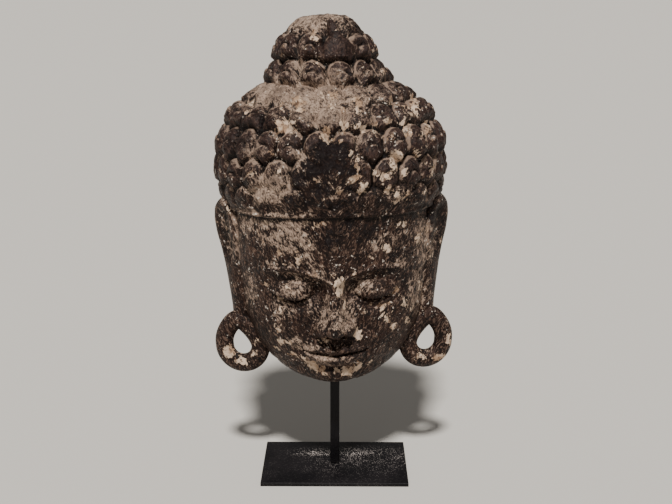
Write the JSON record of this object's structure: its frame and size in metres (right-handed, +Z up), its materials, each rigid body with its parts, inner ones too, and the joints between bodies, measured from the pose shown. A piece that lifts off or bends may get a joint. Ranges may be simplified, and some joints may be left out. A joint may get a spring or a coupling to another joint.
{
  "type": "buddha mask on stand",
  "caption": "Carved and painted wooden mask of a serene head with snail curls and long pierced ears, on a black steel stand.",
  "frame": {"origin": "centre of the base plate's underside", "axes": "+Z up along the rod, -Y out of the face, +X towards the wearer's left ear"},
  "size_m": [0.2464, 0.1341, 0.466],
  "materials": {
    "carved_wood": "matt, dark umber with dust and worn cream and ochre paint",
    "black_steel": "black powder coat, slightly grainy"
  },
  "bodies": {
    "root": {"base_plate": "black_steel", "rod": "black_steel", "mask": "carved_wood"}
  },
  "joints": []
}
